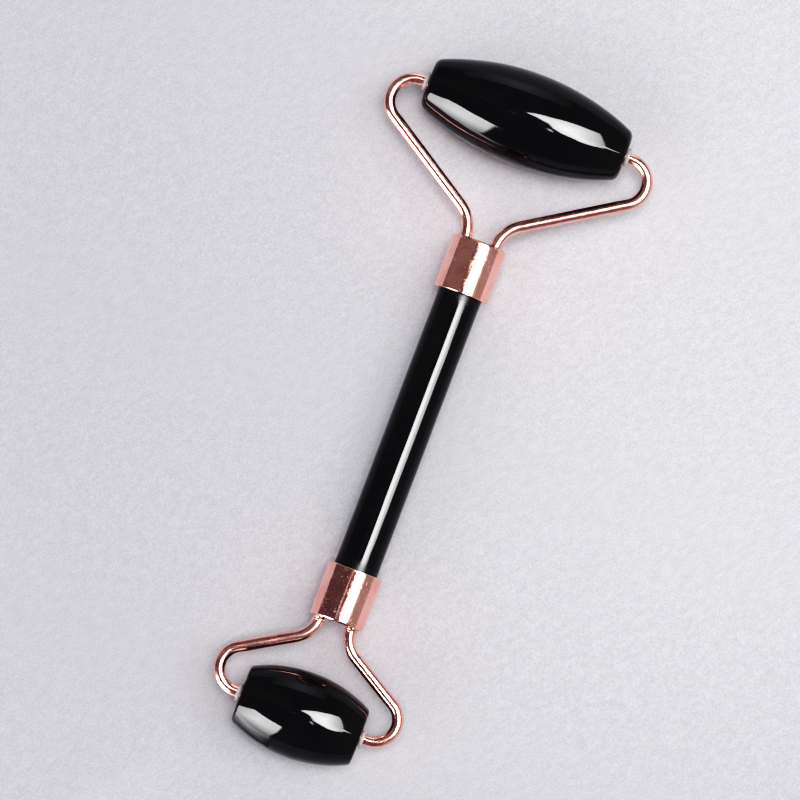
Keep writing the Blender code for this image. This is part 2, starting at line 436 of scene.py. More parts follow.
@dataclass(frozen=True)
class RoseGoldPlate:
    """Bright rose-gold plating over brass, with polishing lines, dull specks and worn corners.

    Scatter is how much rougher a dull speck is, and lines how deep the polishing lines are as a
    share of the grain.
    """

    bright: Colour = (0.995, 0.603, 0.532)
    warm: Colour = (0.930, 0.500, 0.440)
    worn: Colour = (1.0, 0.690, 0.610)
    name: str = "rose_gold_plate"
    roughness: float = 0.06
    grain_mm: float = 0.0045
    lines: float = 0.10
    scatter: float = 0.34

    def make(self) -> bpy.types.Material:
        """Material of the plated metal.

        Returns:
            The material.
        """
        g = Graph.of_material(self.name)
        place = g.place()
        lay = g.lay()
        tone = g.noise(place, 210.0, 3.0, 0.55, 0.4)
        grain = g.step(g.noise(place, 4200.0, 1.0, 0.6), 0.50, 0.66)
        drawn = g.noise(g.stretched(lay, (16.0, 16.0, 0.25)), 1.0, 2.0, 0.6)
        pits = g.specks(place, 2600.0, 0.24, 0.16)
        dull = g.specks(place, 2900.0, 0.42, 0.30)
        dull = dull * g.step(g.noise(place, 260.0, 2.0), 0.40, 0.60)
        scratches = g.hairlines(place, (5.0, 9.0, 24.0), 6100.0, 240.0) + g.hairlines(
            place, (-7.0, 4.0, -41.0), 5200.0, 200.0
        )
        colour = g.blend(g.step(tone, 0.35, 0.75), self.bright, self.warm)
        colour = g.blend(g.edge() * 0.45, colour, self.worn)
        colour = g.blend(pits * 0.5 + grain * 0.10 + dull * 0.3, colour, self.warm)
        rough = self.roughness + tone * 0.03 + grain * 0.04 + scratches * 0.12 + drawn * 0.03
        rough = rough + dull * self.scatter
        peel = 0.35 + g.step(g.noise(place, 330.0, 2.0, 0.5), 0.42, 0.62) * 0.65
        relief = grain * peel + drawn * self.lines - scratches * 0.06 - pits * peel * 0.7
        return g.finish(
            {
                "Base Color": colour,
                "Metallic": 1.0,
                "Roughness": rough,
                "Normal": g.bump(relief, self.grain_mm),
            }
        )


@dataclass(frozen=True)
class MouldedNylon:
    """Pale moulded nylon with a fine matt grain and a little grey picked up in use."""

    clean: Colour = (0.86, 0.78, 0.77)
    handled: Colour = (0.66, 0.60, 0.57)
    roughness: float = 0.40
    grain_mm: float = 0.004

    def make(self) -> bpy.types.Material:
        """Material of the bushes.

        Returns:
            The material.
        """
        g = Graph.of_material("pale_nylon")
        place = g.place()
        stain = g.step(g.noise(place, 700.0, 3.0, 0.6), 0.45, 0.75)
        grain = g.noise(place, 6500.0, 2.0, 0.6)
        colour = g.blend(stain * 0.55, self.clean, self.handled)
        rough = self.roughness + grain * 0.12 - g.edge() * 0.08
        return g.finish(
            {
                "Base Color": colour,
                "Roughness": rough,
                "IOR": 1.53,
                "Subsurface Weight": 0.15,
                "Subsurface Radius": (0.0008, 0.0006, 0.0005),
                "Normal": g.bump(grain, self.grain_mm),
            }
        )


@dataclass(frozen=True)
class CuredEpoxy:
    """Amber bonding resin, with clouding and trapped bubbles."""

    clear: Colour = (0.46, 0.33, 0.16)
    milky: Colour = (0.66, 0.58, 0.42)
    roughness: float = 0.24
    bubble_mm: float = 0.03

    def make(self) -> bpy.types.Material:
        """Material of the adhesive plugs.

        Returns:
            The material.
        """
        g = Graph.of_material("cured_epoxy")
        place = g.place()
        milk = g.step(g.noise(place, 520.0, 4.0, 0.6, 0.5), 0.40, 0.75)
        bubbles = g.specks(place, 1700.0, 0.22, 0.35)
        colour = g.blend(milk, self.clear, self.milky)
        rough = self.roughness + milk * 0.15 + bubbles * 0.1
        return g.finish(
            {
                "Base Color": colour,
                "Roughness": rough,
                "IOR": 1.55,
                "Normal": g.bump(milk * 0.4 - bubbles, self.bubble_mm),
            }
        )


@dataclass(frozen=True)
class FeltedPaper:
    """Pale lavender-grey background paper with a fine tooth, and with painted light and shade:
    its colour is made lighter to one side, darker in the tooth's hollows and lighter on its grain.

    The grading runs square to the direction that turn gives, over twice the reach, and fades
    between the places along that direction that fade gives, down to the kept share.
    """

    shade: Colour = (0.706, 0.702, 0.730)
    light: Colour = (0.912, 0.906, 0.930)
    # Painted shade and light of the tooth: how much darker its hollows and lighter its raised grain are
    # coloured.
    tooth: float = 0.11
    tooth_mm: float = 0.03
    turn: float = -20.81
    reach: float = 0.085
    fade: Pair = (-0.10, -0.015)
    kept: float = 0.55
    roughness: float = 0.85

    def make(self) -> bpy.types.Material:
        """Material of the paper.

        Returns:
            The material.
        """
        g = Graph.of_material("background_paper")
        place = g.place()
        across = g.stretched(place, (1.0, 1.0, 1.0), (0.0, 0.0, self.turn))
        side, along, _ = g.parts(across)
        # Painted light: the paper's colour is made lighter to one side, and that lightening fades
        # towards one end, as uneven lamplight would make it.
        painted_lit_share = g.step(side, -self.reach, self.reach)
        painted_lit_share = painted_lit_share * (self.kept + g.step(along, *self.fade) * (1.0 - self.kept))
        painted_light_grade = g.blend(painted_lit_share, self.shade, self.light)
        fine = g.noise(place, 3400.0, 2.0, 0.8)
        coarse = g.noise(g.stretched(place, (900.0, 380.0, 1.0), (0.0, 0.0, 35.0)), 1.0, 2.0, 0.6)
        tooth = g.step(fine * 0.78 + coarse * 0.22, 0.32, 0.68)
        # Painted shade in the tooth's hollows and painted light on its raised grain, besides the bump.
        hollow = g.brighter(painted_light_grade, 1.0 - self.tooth)
        raised = g.brighter(painted_light_grade, 1.0 + self.tooth)
        return g.finish(
            {
                "Base Color": g.blend(tooth, hollow, raised),
                "Roughness": self.roughness,
                "Specular IOR Level": 0.25,
                "Normal": g.bump(tooth, self.tooth_mm),
            }
        )


class Finish(Enum):
    """The record's material slots, each with the finish that shows it."""

    STONE = ("black_stone", PolishedStone())
    ROD = ("black_stone", PolishedStone(film_mm=(12.4, 68.6)))
    CUP = ("rose_gold_plate", RoseGoldPlate())
    WIRE = (
        "rose_gold_plate",
        RoseGoldPlate(name="rose_gold_wire", roughness=0.13, grain_mm=0.004, lines=0.5, scatter=0.12),
    )
    NYLON = ("pale_nylon", MouldedNylon())
    EPOXY = ("cured_epoxy", CuredEpoxy())

    def slot(self) -> str:
        """Name of the material slot."""
        return self.value[0]


@dataclass
class Workshop:
    """Keeps one material for each finish, and lays it on pieces and frame solids."""

    made: dict[Finish, bpy.types.Material] = field(default_factory=dict)

    def material(self, finish: Finish) -> bpy.types.Material:
        """Material of a finish, made when it is first asked for.

        Args:
            finish: Which finish.

        Returns:
            Its material.
        """
        if finish not in self.made:
            self.made[finish] = finish.value[1].make()
        return self.made[finish]

    def fit(self, piece: bpy.types.Object, node: str, finish: Finish) -> None:
        """Put a new piece in the place of a frame solid: its finish, its body and its slot.

        Args:
            piece: The new piece.
            node: The solid that it stands for.
            finish: What it is finished in.
        """
        piece.data.materials.append(self.material(finish))
        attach(piece, frame["nodes"][node]["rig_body"])
        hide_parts(node)
        log.info("%s: %d faces, %s", piece.name, len(piece.data.polygons), finish.slot())

    def refinish(self, node: str, finish: Finish) -> None:
        """Give a frame solid that stays its finish.

        Args:
            node: The solid.
            finish: What it is finished in.
        """
        solid = frame["nodes"][node]
        for slot in solid.material_slots:
            slot.material = self.material(finish)
        log.info("%s: kept, %s", node, finish.slot())


# ---------------------------------------------------------------- surfaces


class Closing(Enum):
    """How a grid of points is closed along its rows; round its columns it always joins up."""

    RING = "last row joins the first"
    POLES = "first and last rows are single points"


def triangles_of(quads: np.ndarray, fans: np.ndarray) -> np.ndarray:
    """All faces as triangles.

    Args:
        quads: Four point numbers to a row.
        fans: Three point numbers to a row.

    Returns:
        Three point numbers to a row.
    """
    return np.concatenate([quads[:, [0, 1, 2]], quads[:, [0, 2, 3]], fans])


def enclosed(points: np.ndarray, triangles: np.ndarray) -> float:
    """Signed volume inside a closed surface, the sum of its tetrahedra to the origin.

    Args:
        points: Places, one to a row.
        triangles: Three point numbers to a row.

    Returns:
        The volume, above zero if the faces point outwards.
    """
    a, b, c = (points[triangles[:, k]] for k in range(3))
    return float(np.einsum("ij,ij->i", a, np.cross(b, c)).sum() / 6.0)


def lay_of(turn: np.ndarray, far: np.ndarray) -> np.ndarray:
    """Place along and round a piece, for the patterns that follow its surface.

    Args:
        turn: Turn of each column, in radians, one row.
        far: Distance along the piece of each row, in metres.

    Returns:
        Cosine and sine of the turn and millimetres along, rows by columns by 3.
    """
    along = (far / MM)[:, None]
    return np.stack(np.broadcast_arrays(np.cos(turn), np.sin(turn), along), axis=-1)


def grid_piece(
    name: str, grid: np.ndarray, closing: Closing, lay: np.ndarray, edge: np.ndarray
) -> bpy.types.Object:
    """Join a grid of points into one closed, smooth piece.

    Each face spans two neighbouring rows and two neighbouring columns. With poles, the first and
    last rows shrink to one point each, and triangles join it to the row beside it.

    Args:
        name: Name of the piece.
        grid: Places, rows by columns by 3.
        closing: How the rows are closed.
        lay: Cosine and sine of the turn and millimetres along, rows by columns by 3.
        edge: How tightly each row is rounded, from 0 to 1.

    Returns:
        The piece, with its attributes, at the origin.
    """
    rows, columns = grid.shape[:2]
    edges = np.repeat(edge[:, None], columns, axis=1)
    if closing is Closing.POLES:
        inner = slice(1, rows - 1)
        ends = [0, rows - 1]
        points = np.concatenate([grid[inner].reshape(-1, 3), grid[ends].mean(axis=1)])
        lays = np.concatenate([lay[inner].reshape(-1, 3), lay[ends].mean(axis=1)])
        weights = np.concatenate([edges[inner].ravel(), edge[ends]])
        index = np.arange((rows - 2) * columns).reshape(rows - 2, columns)
        first, last = len(points) - 2, len(points) - 1
        start, end = index[0], index[-1]
        fans = np.concatenate(
            [
                np.stack([np.full(columns, first), start, np.roll(start, -1)], axis=1),
                np.stack([np.full(columns, last), np.roll(end, -1), end], axis=1),
            ]
        )
    else:
        points, lays, weights = grid.reshape(-1, 3), lay.reshape(-1, 3), edges.ravel()
        index = np.arange(rows * columns).reshape(rows, columns)
        index = np.concatenate([index, index[:1]])
        fans = np.zeros((0, 3), int)
    a, b = index[:-1], index[1:]
    quads = np.stack([a, b, np.roll(b, -1, axis=1), np.roll(a, -1, axis=1)], axis=-1).reshape(-1, 4)
    if enclosed(points, triangles_of(quads, fans)) < 0.0:
        quads, fans = quads[:, ::-1], fans[:, ::-1]
    mesh = bpy.data.meshes.new(name)
    mesh.from_pydata(points.tolist(), [], quads.tolist() + fans.tolist())
    lay_layer = mesh.attributes.new(LAY, "FLOAT_VECTOR", "POINT")
    lay_layer.data.foreach_set("vector", lays.astype(np.float32).ravel())
    edge_layer = mesh.attributes.new(EDGE, "FLOAT", "POINT")
    edge_layer.data.foreach_set("value", weights.astype(np.float32))
    mesh.shade_smooth()
    mesh.update()
    piece = bpy.data.objects.new(name, mesh)
    bpy.context.scene.collection.objects.link(piece)
    return piece


def arc(centre: Pair, radius: float, start: float, end: float, steps: int) -> np.ndarray:
    """Points on an arc: centre plus radius times (cosine, sine) of evenly spaced angles.

    Args:
        centre: Centre of the arc.
        radius: Its radius.
        start: First angle, in radians.
        end: Last angle, in radians.
        steps: How many steps it is cut into.

    Returns:
        The points, one to a row.
    """
    angles = np.linspace(start, end, steps + 1)
    return np.asarray(centre) + radius * np.stack([np.cos(angles), np.sin(angles)], axis=1)


def line(start: Pair, end: Pair, steps: int) -> np.ndarray:
    """Evenly spaced points on a straight line, with both ends.

    Args:
        start: First point.
        end: Last point.
        steps: How many steps it is cut into.

    Returns:
        The points, one to a row.
    """
    share = np.linspace(0.0, 1.0, steps + 1)[:, None]
    return np.asarray(start) * (1.0 - share) + np.asarray(end) * share


def chained(*parts: np.ndarray) -> np.ndarray:
    """Profile parts end to end, each point kept once.

    Args:
        parts: The parts in order.

    Returns:
        One profile.
    """
    points = np.concatenate(parts)
    gaps = np.linalg.norm(np.diff(points, axis=0), axis=1)
    return points[np.concatenate([[True], gaps > 1e-8])]


def distance_along(points: np.ndarray) -> np.ndarray:
    """Length of the line from its first point to each point.

    Args:
        points: Points of the line, one to a row.

    Returns:
        One length for each point.
    """
    return np.concatenate([[0.0], np.cumsum(np.linalg.norm(np.diff(points, axis=0), axis=1))])


def tightness(profile: np.ndarray, closed: bool) -> np.ndarray:
    """How tightly a profile bends at each point: 1 where it turns as fast as the tightest arc.

    The turn at a point is the angle between its two steps, divided by their mean length. The
    result is averaged with its neighbours three times.

    Args:
        profile: Points of the profile, one to a row.
        closed: Whether the last point joins the first.

    Returns:
        A weight from 0 to 1 for each point.
    """
    first, last = (-1, 0) if closed else (0, -1)
    steps = np.diff(profile[np.r_[first, 0 : len(profile), last]], axis=0)
    lengths = np.maximum(np.linalg.norm(steps, axis=1), 1e-9)
    cross = steps[:-1, 0] * steps[1:, 1] - steps[:-1, 1] * steps[1:, 0]
    dot = (steps[:-1] * steps[1:]).sum(axis=1)
    mean_length = np.maximum((lengths[:-1] + lengths[1:]) / 2.0, SHORTEST_STEP)
    weight = np.clip(np.abs(np.arctan2(cross, dot)) / mean_length * TIGHTEST_ARC, 0.0, 1.0)
    for _ in range(3):
        weight = (np.roll(weight, 1) + 2.0 * weight + np.roll(weight, -1)) / 4.0
    return weight


@dataclass(frozen=True)
class Axis:
    """The line that a turned piece is turned about."""

    centre: Vector
    along: Vector

    def basis(self) -> tuple[np.ndarray, np.ndarray, np.ndarray, np.ndarray]:
        """Work out the axes of the turning.

        Returns:
            Centre, direction, and two unit vectors across it.
        """
        across = Vector((0.0, 0.0, 1.0))
        other = self.along.cross(across)
        return tuple(np.array(v, float) for v in (self.centre, self.along, across, other))


def turned_piece(
    name: str,
    profile: np.ndarray,
    axis: Axis,
    columns: int,
    closing: Closing,
    change: RadialChange | None = None,
) -> bpy.types.Object:
    """Turn a profile about an axis.

    A point is centre + height * along + (radius + change(height, turn)) * (across * cosine +
    other * sine) of the turn.

    Args:
        name: Name of the piece.
        profile: (radius, height) pairs, one to a row.
        axis: What it is turned about; heights are measured from its centre.
        columns: Points round one turn.
        closing: How the profile is closed.
        change: Extra radius by height and turn, or none.

    Returns:
        The piece.
    """
    centre, along, across, other = axis.basis()
    turn = np.linspace(0.0, 2.0 * np.pi, columns, endpoint=False)[None, :]
    radius, height = profile[:, :1], profile[:, 1:]
    reach = radius + (change(height, turn) if change else 0.0) * np.minimum(radius / MM, 1.0)
    ring = np.cos(turn)[..., None] * across + np.sin(turn)[..., None] * other
    grid = centre + height[..., None] * along + reach[..., None] * ring
    lay = lay_of(turn, distance_along(profile))
    return grid_piece(name, grid, closing, lay, tightness(profile, closing is Closing.RING))


def box_of(node: str) -> tuple[Vector, Vector, Vector]:
    """Measure a frame solid.

    Args:
        node: The solid.

    Returns:
        Its lowest corner, highest corner and middle.
    """
    low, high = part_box(node)
    return low, high, (low + high) / 2.0


# ---------------------------------------------------------------- sub-assemblies


@dataclass
class Handle:
    """The stone rod between the two ferrules."""

    shop: Workshop
    chamfer: float = 0.35 * MM
    wobble: float = 0.006 * MM

    def build(self) -> bpy.types.Object:
        """Rod as ground: a cylinder with rounded ends, out of true by a few thousandths.

        Returns:
            The rod.
        """
        low, high, middle = box_of("handle_rod")
        radius, half = (high.x - low.x) / 2.0, (high.y - low.y) / 2.0
        end = arc((radius - self.chamfer, half - self.chamfer), self.chamfer, math.pi / 2, 0.0, 10)
        upper = chained(line((0.0, half), tuple(end[0]), 6), end)
        side = line((radius, half - self.chamfer), (radius, self.chamfer - half), 150)
        profile = chained(upper, side, upper[::-1] * (1.0, -1.0))
        axis = Axis(middle, Vector((0.0, 1.0, 0.0)))
        return turned_piece("stone_handle_rod", profile, axis, 160, Closing.POLES, self._out_of_true)

    def _out_of_true(self, height: np.ndarray, turn: np.ndarray) -> np.ndarray:
        """Sum of slow waves along the rod and round it.

        Args:
            height: Place along the rod.
            turn: Place round it.

        Returns:
            Extra radius.
        """
        h = height / MM
        waves = np.sin(0.31 * h + 2.0 * turn) + 0.7 * np.sin(0.17 * h - 3.0 * turn + 1.3)
        return self.wobble * (waves + 0.5 * np.sin(0.74 * h + turn + 0.4))

    def dress(self) -> None:
        """Build the rod and finish it."""
        self.shop.fit(self.build(), "handle_rod", Finish.ROD)


@dataclass
class Roller:
    """One stone barrel with its two bushes.

    Arc radius is that of the barrel's outline, and corner the radius where it meets the flat ends.
    """

    shop: Workshop
    end: str
    arc_radius: float
    corner: float
    wobble: float = 0.011 * MM
    bore: float = 1.64 * MM
    bore_round: float = 0.12 * MM
    bush_bore: float = 1.285 * MM
    bush_barrel: float = 1.54 * MM
    bush_flange: float = 0.65 * MM
    bush_round: float = 0.12 * MM

    def build_stone(self) -> bpy.types.Object:
        """Barrel of one large arc, rounded into flat ends, round a straight bore.

        Returns:
            The stone.
        """
        low, high, _ = box_of(f"{self.end}_roller")
        spin = f"{self.end}_roller_spin"
        centre = Vector(next(j["pos_m"] for j in frame["joints"] if j["name"] == spin))
        half, radius = (high.x - low.x) / 2.0, (high.z - low.z) / 2.0
        bore, lip = self.bore, self.bore_round
        reach = self.arc_radius - self.corner
        meeting = math.asin((half - self.corner) / reach)
        hub = radius - self.arc_radius
        corner = (hub + reach * math.cos(meeting), half - self.corner)
        mouth = arc((bore + lip, half - lip), lip, math.pi, math.pi / 2, 6)
        face = line((bore + lip, half), (corner[0], half), 14)
        rounding = arc(corner, self.corner, math.pi / 2, meeting, 18)
        barrel = arc((hub, 0.0), self.arc_radius, meeting, -meeting, 130)
        outer = chained(mouth, face, rounding, barrel)
        lower = (chained(mouth, face, rounding) * (1.0, -1.0))[::-1]
        inner = line((bore, lip - half), (bore, half - lip), 12)[1:-1]
        profile = np.concatenate([chained(outer, lower), inner])
        axis = Axis(centre, Vector((1.0, 0.0, 0.0)))
        name = f"{self.end}_stone_roller"
        return turned_piece(name, profile, axis, 200, Closing.RING, self._by_hand)

    def _by_hand(self, height: np.ndarray, turn: np.ndarray) -> np.ndarray:
        """Sum of slow waves along the barrel and round it, as hand polishing leaves.

        Args:
            height: Place along the barrel.
            turn: Place round it.

        Returns:
            Extra radius.
        """
        h = height / MM
        waves = np.sin(0.52 * h + turn + 0.6) + 0.8 * np.sin(0.33 * h - 2.0 * turn)
        waves += 0.5 * np.sin(0.9 * h + 3.0 * turn + 2.1) + 0.35 * np.sin(1.3 * h - 4.0 * turn)
        return self.wobble * waves

    def build_bush(self, hand: str) -> bpy.types.Object:
        """Flanged sleeve with rounded corners.

        Args:
            hand: Which side, left or right.

        Returns:
            The bush.
        """
        low, high, middle = box_of(f"{self.end}_{hand}_bush")
        side = -1.0 if hand == "left" else 1.0
        flange, half = (high.z - low.z) / 2.0, (high.x - low.x) / 2.0
        bore, barrel, r = self.bush_bore, self.bush_barrel, self.bush_round
        shoulder = half - self.bush_flange
        profile = chained(
            arc((bore + r, half - r), r, math.pi, math.pi / 2, 6),
            arc((flange - r, half - r), r, math.pi / 2, 0.0, 8),
            arc((flange - r, shoulder + r), r, 0.0, -math.pi / 2, 8),
            line((barrel, shoulder), (barrel, r - half), 8),
            arc((barrel - r, r - half), r, 0.0, -math.pi / 2, 6),
            arc((bore + r / 2, r / 2 - half), r / 2, -math.pi / 2, -math.pi, 4),
        )
        axis = Axis(middle, Vector((side, 0.0, 0.0)))
        return turned_piece(f"{self.end}_{hand}_nylon_bush", profile, axis, 72, Closing.RING)

    def dress(self) -> None:
        """Build the stone and its bushes and finish them."""
        self.shop.fit(self.build_stone(), f"{self.end}_roller", Finish.STONE)
        for hand in ("left", "right"):
            self.shop.fit(self.build_bush(hand), f"{self.end}_{hand}_bush", Finish.NYLON)


@dataclass
class Fork:
    """One ferrule with its two bent wires, their solder and the resin inside.

    Elbow radius is that of the wire's centreline next to the ferrule, arm angle the slope of its
    straight arm from straight across, and stub end the distance of its tip from the middle.
    Flattening is the share that the wire narrows by where it bends as tightly as the tight bend.
    """

    shop: Workshop
    end: str
    elbow_radius: float
    arm_angle: float
    stub_end: float
    wall: float = 0.95 * MM
    end_wall: float = 1.2 * MM
    edge_round: float = 0.5 * MM
    rim_round: float = 0.16 * MM
    dent: float = 0.0015 * MM
    exit_straight: float = 0.2 * MM
    path_step: float = 0.25 * MM
    tight_bend: float = 5.0 * MM
    flattening: float = 0.018
    tip_dome: float = 0.25 * MM
    wire_columns: int = 48
    solder_inner: float = 1.22 * MM
    solder_top: float = 1.34 * MM
    solder_gap: float = 0.16

    def outward(self) -> float:
        """+1 where the fork points towards +Y, and -1 towards -Y."""
        return 1.0 if self.end == "large" else -1.0

    def build_ferrule(self) -> bpy.types.Object:
        """Cup with a rounded closed end and a fine rounded rim.

        Returns:
            The ferrule.
        """
        low, high, middle = box_of(f"{self.end}_end_ferrule")
        radius, half = (high.x - low.x) / 2.0, (high.y - low.y) / 2.0
        bore, floor = radius - self.wall, half - self.end_wall
        e, r = self.edge_round, self.rim_round
        profile = chained(
            line((0.0, half), (radius - e, half), 12),
            arc((radius - e, half - e), e, math.pi / 2, 0.0, 14),
            line((radius, half - e), (radius, r - half), 60),
            arc((radius - r, r - half), r, 0.0, -math.pi / 2, 7),
            arc((bore + r, r - half), r, -math.pi / 2, -math.pi, 7),
            line((bore, r - half), (bore, floor), 16),
            line((bore, floor), (0.0, floor), 8),
        )
        axis = Axis(middle, Vector((0.0, self.outward(), 0.0)))
        name = f"{self.end}_rose_gold_ferrule"
        return turned_piece(name, profile, axis, 160, Closing.POLES, self._pressed)

    def _pressed(self, height: np.ndarray, turn: np.ndarray) -> np.ndarray:
        """Very slight dents that pressing leaves in a thin cup.

        Args:
            height: Place along the cup.
            turn: Place round it.

        Returns:
            Extra radius.
        """
        h = height / MM
        return self.dent * (np.sin(0.8 * h + 2.0 * turn) + np.sin(1.5 * h - 3.0 * turn + 0.7))

    def path(self, hand: float) -> np.ndarray:
        """Centreline of one wire in the plane of the fork.

        It runs straight out of the ferrule, bends outwards, runs straight to the widest point,
        turns there through two bends of the same radius that meet with no straight between, and
        ends on the roller's axis.

        Args:
            hand: -1 for the left wire and +1 for the right one.

        Returns:
            Points (across, along), one to a row, evenly spaced.
        """
        side = "left" if hand < 0 else "right"
        low, high, _ = box_of(f"{self.end}_fork_{side}_arm")
        wire = (high.z - low.z) / 2.0
        inner, outer = sorted((abs(low.x), abs(high.x)))
        width, offset = outer - wire, inner + wire
        out = self.outward()
        tip, root = (high.y, low.y) if out > 0 else (low.y, high.y)
        axis_y = tip - out * wire
        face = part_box(f"{self.end}_end_ferrule")[1 if out > 0 else 0].y
        half_turn = (math.pi / 2 - self.arm_angle) / 2
        exit_corner = out * face + self.exit_straight + self.elbow_radius * math.tan(half_turn)
        knee = exit_corner + (width - offset) * math.tan(self.arm_angle)
        shoulder = (out * axis_y - knee) / (math.tan(half_turn) + 1.0)
        corners = np.array(
            [
                (offset, out * root),
                (offset, exit_corner),
                (width, knee),
                (width, out * axis_y),
                (self.stub_end, out * axis_y),
            ]
        )
        points = self._rounded(corners, (self.elbow_radius, shoulder, shoulder))
        return points * (hand, out)

    def _rounded(self, corners: np.ndarray, radii: tuple[float, ...]) -> np.ndarray:
        """Round the inner corners of a bent line.

        Each corner is replaced with an arc that touches both its sides, at radius times the
        tangent of half the turn from the corner.

        Args:
            corners: Corners of the line, one to a row.
            radii: Radius at each inner corner.

        Returns:
            Points of the rounded line, one to a row, about one path step apart.
        """
        parts = [corners[:1]]
        for before, corner, after, radius in zip(corners, corners[1:], corners[2:], radii):
            into = (corner - before) / np.linalg.norm(corner - before)
            away = (after - corner) / np.linalg.norm(after - corner)
            turn = math.atan2(into[0] * away[1] - into[1] * away[0], float(into @ away))
            cut = radius * math.tan(abs(turn) / 2)
            normal = np.array([-into[1], into[0]]) * math.copysign(1.0, turn)
            hub = corner - into * cut + normal * radius
            start = math.atan2(-normal[1], -normal[0])
            parts.append(arc(tuple(hub), radius, start, start + turn, 32))
        parts.append(corners[-1:])
        rough = chained(*parts)
        far = distance_along(rough)
        even = np.linspace(0.0, far[-1], int(far[-1] / self.path_step) + 1)
        return np.stack([np.interp(even, far, rough[:, k]) for k in range(2)], axis=1)

    def build_wire(self, hand: float) -> bpy.types.Object:
        """Round wire carried along its path, a little flattened where it is bent.

        A point is path + radius * (normal * cosine + up * sine) of the turn. The radius falls to
        zero over a short dome at each end, and in a bend the wire is a touch wider upwards than
        across.

        Args:
            hand: -1 for the left wire and +1 for the right one.

        Returns:
            The wire.
        """
        side = "left" if hand < 0 else "right"
        low, high, middle = box_of(f"{self.end}_fork_{side}_arm")
        radius = (high.z - low.z) / 2.0
        path = self.path(hand)
        far = distance_along(path)
        tangent = np.gradient(path, far, axis=0)
        tangent /= np.linalg.norm(tangent, axis=1)[:, None]
        normal = np.stack([-tangent[:, 1], tangent[:, 0]], axis=1)
        bend = np.linalg.norm(np.gradient(tangent, far, axis=0), axis=1)
        bend = np.convolve(np.pad(bend, 4, mode="edge"), np.ones(9) / 9.0, mode="valid")
        bent = np.clip(bend * self.tight_bend, 0.0, 1.0)
        flat = bent * self.flattening
        dome = self.tip_dome
        short = np.maximum(dome - np.minimum(far, far[-1] - far), 0.0)
        cap = radius - dome + np.sqrt(np.maximum(dome**2 - short**2, 0.0))
        cap[[0, -1]] = 0.0
        turn = np.linspace(0.0, 2.0 * np.pi, self.wire_columns, endpoint=False)[None, :]
        across = (cap * (1.0 - flat))[:, None] * np.cos(turn)
        up = np.minimum(cap * (1.0 + flat * 0.2), radius)[:, None] * np.sin(turn)
        flat_grid = path[:, None, :] + across[..., None] * normal[:, None, :]
        grid = np.concatenate([flat_grid, (middle.z + up)[..., None]], axis=-1)
        name = f"{self.end}_{side}_rose_gold_wire"
        return grid_piece(name, grid, Closing.POLES, lay_of(turn, far), bent * 0.5)

    def build_solder(self, hand: str) -> bpy.types.Object:
        """Fillet of solder, drawn up the wire in a hollow curve, with an uneven foot.

        With share from 0 at the top to 1 at the foot, the hollow's radius grows with share to the
        power 2.2 and its height falls with share to the power 1 / 1.6.

        Args:
            hand: Which side, left or right.

        Returns:
            The fillet.
        """
        low, high, middle = box_of(f"{self.end}_{hand}_solder_collar")
        foot, half = (high.x - low.x) / 2.0, (high.y - low.y) / 2.0
        inner, top = self.solder_inner, self.solder_top
        share = np.linspace(0.0, 1.0, 19)
        radii, heights = top + (foot - top) * share**2.2, half - 2.0 * half * share ** (1 / 1.6)
        profile = chained(
            line((inner, half), (top, half), 3),
            np.stack([radii, heights], axis=1),
            line((foot, -half), (inner, -half), 6),
            line((inner, -half), (inner, half), 6)[:-1],
        )
        phase = 0.6 if hand == "left" else 2.3
        gap = self.solder_gap * (foot - inner)

        def uneven(height: np.ndarray, turn: np.ndarray) -> np.ndarray:
            """Take slow lobes off the foot and nothing off the top.

            Args:
                height: Place along the fillet.
                turn: Place round it.

            Returns:
                Extra radius, never above zero.
            """
            down = np.clip((half - height) / (2.0 * half), 0.0, 1.0)
            lobes = (1.0 + np.sin(2.0 * turn + phase) * np.cos(turn - phase)) / 2.0
            return -gap * down * lobes

        axis = Axis(middle, Vector((0.0, self.outward(), 0.0)))
        return turned_piece(f"{self.end}_{hand}_solder_fillet", profile, axis, 64, Closing.RING, uneven)

    def dress(self) -> None:
        """Build the ferrule, the wires and their solder, and finish them and the resin."""
        self.shop.fit(self.build_ferrule(), f"{self.end}_end_ferrule", Finish.CUP)
        for side, hand in (("left", -1.0), ("right", 1.0)):
            self.shop.fit(self.build_wire(hand), f"{self.end}_fork_{side}_arm", Finish.WIRE)
            self.shop.fit(self.build_solder(side), f"{self.end}_{side}_solder_collar", Finish.CUP)
        self.shop.refinish(f"{self.end}_end_adhesive", Finish.EPOXY)


# ---------------------------------------------------------------- studio


def towards(east: float, north: float) -> Vector:
    """Direction in the sky by its tilt from straight up.

    Args:
        east: Tilt towards +X, in degrees.
        north: Tilt towards +Y, in degrees.

    Returns:
        The direction: the tilts give both how far it leans and which way.
    """
    lean, way = math.radians(math.hypot(east, north)), math.atan2(north, east)
    return Vector((math.sin(lean) * math.cos(way), math.sin(lean) * math.sin(way), math.cos(lean)))


def table_height(y: Union[float, np.ndarray]) -> Union[float, np.ndarray]:
    """Height of the table along the tool, on the straight line just under both stones.

    Args:
        y: Places along the tool.

    Returns:
        The heights.
    """
    stones = [box_of(f"{end}_roller") for end in ("large", "small")]
    (y0, z0), (y1, z1) = ((middle.y, low.z) for low, _, middle in stones)
    return z0 + (z0 - z1) / (y0 - y1) * (y - y0) - TABLE_GAP


